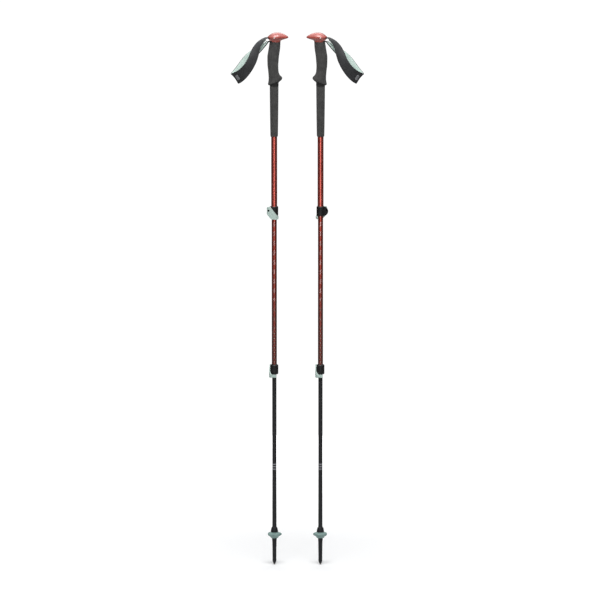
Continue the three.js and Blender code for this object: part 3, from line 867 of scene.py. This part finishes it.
def make_strap(side, axis, looks):
    toward = 1 if side == "left" else -1
    strap = f"{side}_strap"

    band, length, area = strap_band(f"{side}_strap_band", axis, toward, **WEBBING_BAND)
    band.data.materials.append(looks["webbing"])
    smooth_by_angle(band, 60)
    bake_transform(band)
    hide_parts(f"{side}_strap_webbing")

    pad, _, _ = strap_band(f"{side}_strap_pad", axis, toward, **LINING_BAND)
    pad.data.materials.append(looks["lining"])
    smooth_by_angle(pad, 60)
    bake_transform(pad)
    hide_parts(f"{side}_strap_lining")

    label, _, _ = strap_band(f"{side}_strap_label", axis, toward, **PATCH_BAND)
    finish_piece(label, strap, looks["patch"], f"{side}_strap_patch")


# Tip: heights above the ground and radii, in millimetres

FERRULE_PROFILE = [
    (0, 14), (2.5, 14), (2.5, 4.1), (3.1, 4), (3.4, 4.3), (4.2, 6.6), (4.9, 8.6), (5.1, 9.4), (5.1, 24),
    (5.25, 34), (5.7, 62.6), (5.85, 63.4), (6.15, 65.8), (6.2, 66.4), (6.2, 69.2), (6.5, 69.6),
    (7.7, 70.4), (8, 70.8), (8, 86.4), (9.4, 86.7), (9.7, 87), (9.62, 88.4), (9.3, 91), (8.9, 93),
    (8.3, 95.4), (7.6, 97.4), (7, 98.8), (6.5, 99.5), (6.2, 99.6), (5.8, 99.6), (5.8, 76), (0, 76),
]
CARBIDE_PROFILE = [
    (0, 0.5), (1.1, 0.2), (1.6, 0), (1.9, 0.05), (2.2, 0.6), (2.2, 13.4), (2.0, 13.6), (0, 13.6),
]
BASKET_RINGS = [
    (71, 9.5, 0), (71.25, 9.85, 0), (72.4, 10.2, 0), (73.4, 10.8, 0), (74.7, 12, 0.1), (75.8, 13.6, 0.3),
    (76.8, 15.2, 0.55), (77.8, 16.8, 0.8), (78.9, 17.8, 0.95), (80, 18.1, 1), (81.3, 18.1, 0.97),
    (82.4, 17.6, 0.9), (83.3, 16.7, 0.75), (84, 15.2, 0.6), (84.6, 13.2, 0.3), (84.9, 11.6, 0.1),
    (85.3, 10.6, 0), (85.8, 10.2, 0), (86, 9.8, 0),
]
BASKET_BORE = 8.3
BASKET_LOBES = 5
BASKET_SIDES = BASKET_LOBES * 24
BASKET_GIRTH = 2 * math.pi * 17 * MM


def in_metres(profile):
    return [(r * MM, z * MM) for r, z in profile]


def basket_rows(axis, turned):
    """Closed rings from the bore's foot, round the lobed outside to its top and back down it."""
    foot = (BASKET_RINGS[0][0], BASKET_BORE, 0)
    head = (BASKET_RINGS[-1][0], BASKET_BORE, 0)
    rings = [foot, *BASKET_RINGS, head, foot]
    rows = []
    for z, radius, lobe in rings:
        row = []
        for i in range(BASKET_SIDES):
            angle = 2 * math.pi * i / BASKET_SIDES
            reach = radius + lobe * math.cos(BASKET_LOBES * angle)
            row.append((reach * math.cos(angle), reach * math.sin(angle), z))
        rows.append(place(row, axis, turned))
    return rows, [ring[0] * MM for ring in rings]


def make_tip(side, axis, turned, looks):
    body = f"{side}_lower"
    ferrule = welded(lathe(f"{side}_ferrule_shell", axis, in_metres(FERRULE_PROFILE)))
    smooth_by_angle(ferrule, 30)
    finish_piece(ferrule, body, looks["ferrule"], f"{side}_ferrule")

    point = welded(lathe(f"{side}_tip_point", axis, in_metres(CARBIDE_PROFILE), 64))
    smooth_by_angle(point, 30)
    finish_piece(point, body, looks["carbide"], f"{side}_carbide_tip")

    rows, heights = basket_rows(axis, turned)
    us = [BASKET_GIRTH * i / BASKET_SIDES for i in range(BASKET_SIDES + 1)]
    points, faces, uvs = grid(rows, us, heights)
    basket = welded(mesh_object(f"{side}_basket_disc", points, faces, uvs))
    smooth_by_angle(basket, 35)
    finish_piece(basket, body, looks["basket"], f"{side}_basket")


# Shafts: thin tubes with slightly rounded ends


TUBE_WALL = 0.8 * MM
TUBE_EDGE = 0.15 * MM


def make_tube(side, stage, axis, material):
    node = f"{side}_{stage}_shaft"
    body = f"{side}_handle" if stage == "upper" else f"{side}_{stage}"
    low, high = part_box(node)
    outer = (high.x - low.x) / 2
    inner = outer - TUBE_WALL
    soft = TUBE_EDGE
    profile = [
        (inner, low.z + soft), (inner + soft, low.z), (outer - soft, low.z), (outer, low.z + soft),
        (outer, high.z - soft), (outer - soft, high.z), (inner + soft, high.z), (inner, high.z - soft),
    ]
    tube = welded(lathe(f"{side}_{stage}_tube", axis, profile, hollow=True))
    smooth_by_angle(tube, 30)
    finish_piece(tube, body, material, node)


def carry(node, material):
    """A CAD piece that is right as it is, with its own material."""
    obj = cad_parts[node]
    obj.data.materials.clear()
    obj.data.materials.append(material)


# Moulded plastics: look name, darker and lighter colour, roughness and gloss.
PLASTICS = {
    "collar": ("lock_black", (0.006, 0.006, 0.006), (0.010, 0.010, 0.0105), 0.45, 0.3),
    "lever": ("lever_mint", (0.40, 0.51, 0.465), (0.45, 0.565, 0.515), 0.48, 0.45),
    "basket": ("basket_mint", (0.17, 0.26, 0.242), (0.205, 0.305, 0.283), 0.55, 0.4),
    "ferrule": ("ferrule_black", (0.006, 0.006, 0.0075), (0.010, 0.010, 0.0125), 0.5, 0.3),
    "nylon": ("bushing_nylon", (0.035, 0.035, 0.037), (0.05, 0.05, 0.053), 0.5, 0.45),
}


def build_looks():
    looks = {
        "knob": knob_look(),
        "foam": foam_look(),
        "webbing": webbing_look(),
        "lining": lining_look(),
        "patch": patch_look(),
        "upper": upper_look(),
        "middle": middle_look(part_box("left_middle_shaft")[0].z),
        "lower": lower_look(),
        "steel": steel_look("pin_steel", (0.34, 0.34, 0.33), (0.44, 0.44, 0.43)),
        "black_steel": steel_look("black_steel", (0.02, 0.02, 0.021), (0.035, 0.035, 0.037)),
        "carbide": carbide_look(),
    }
    for key, settings in PLASTICS.items():
        looks[key] = plastic(*settings).material
    return looks


BORE_GAP = 0.3 * MM          # from the upper tube to the foam round it


def make_pole(side, looks):
    low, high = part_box(f"{side}_upper_shaft")
    axis = ((low.x + high.x) / 2, (low.y + high.y) / 2)
    turned = side == "right"
    bore = (high.x - low.x) / 2 + BORE_GAP
    make_knob(side, axis, turned, looks)
    make_grip(side, axis, turned, looks, bore)
    make_strap(side, axis, looks)
    for stage in ("upper", "middle", "lower"):
        make_tube(side, stage, axis, looks[stage])
    make_tip(side, axis, turned, looks)
    for lock, body in (("upper", "handle"), ("lower", "middle")):
        prefix = f"{side}_{lock}_lock"
        collar = moulded(f"{side}_{lock}_clamp", f"{prefix}_collar")
        finish_piece(collar, f"{side}_{body}", looks["collar"], f"{prefix}_collar")
        lever = moulded(f"{side}_{lock}_flick", f"{prefix}_lever")
        finish_piece(lever, f"{side}_{lock}_lever", looks["lever"], f"{prefix}_lever")
        carry(f"{prefix}_pin", looks["black_steel"])
        carry(f"{prefix}_screw", looks["black_steel"])
    carry(f"{side}_strap_pin", looks["steel"])
    carry(f"{side}_strap_wedge", looks["knob"])
    carry(f"{side}_strap_anchor", looks["webbing"])
    for name in ("upper_shaft_plug", "middle_shaft_bushing", "lower_shaft_bushing"):
        carry(f"{side}_{name}", looks["nylon"])


make_camera()
make_studio()
LOOKS = build_looks()
for one in SIDES:
    make_pole(one, LOOKS)
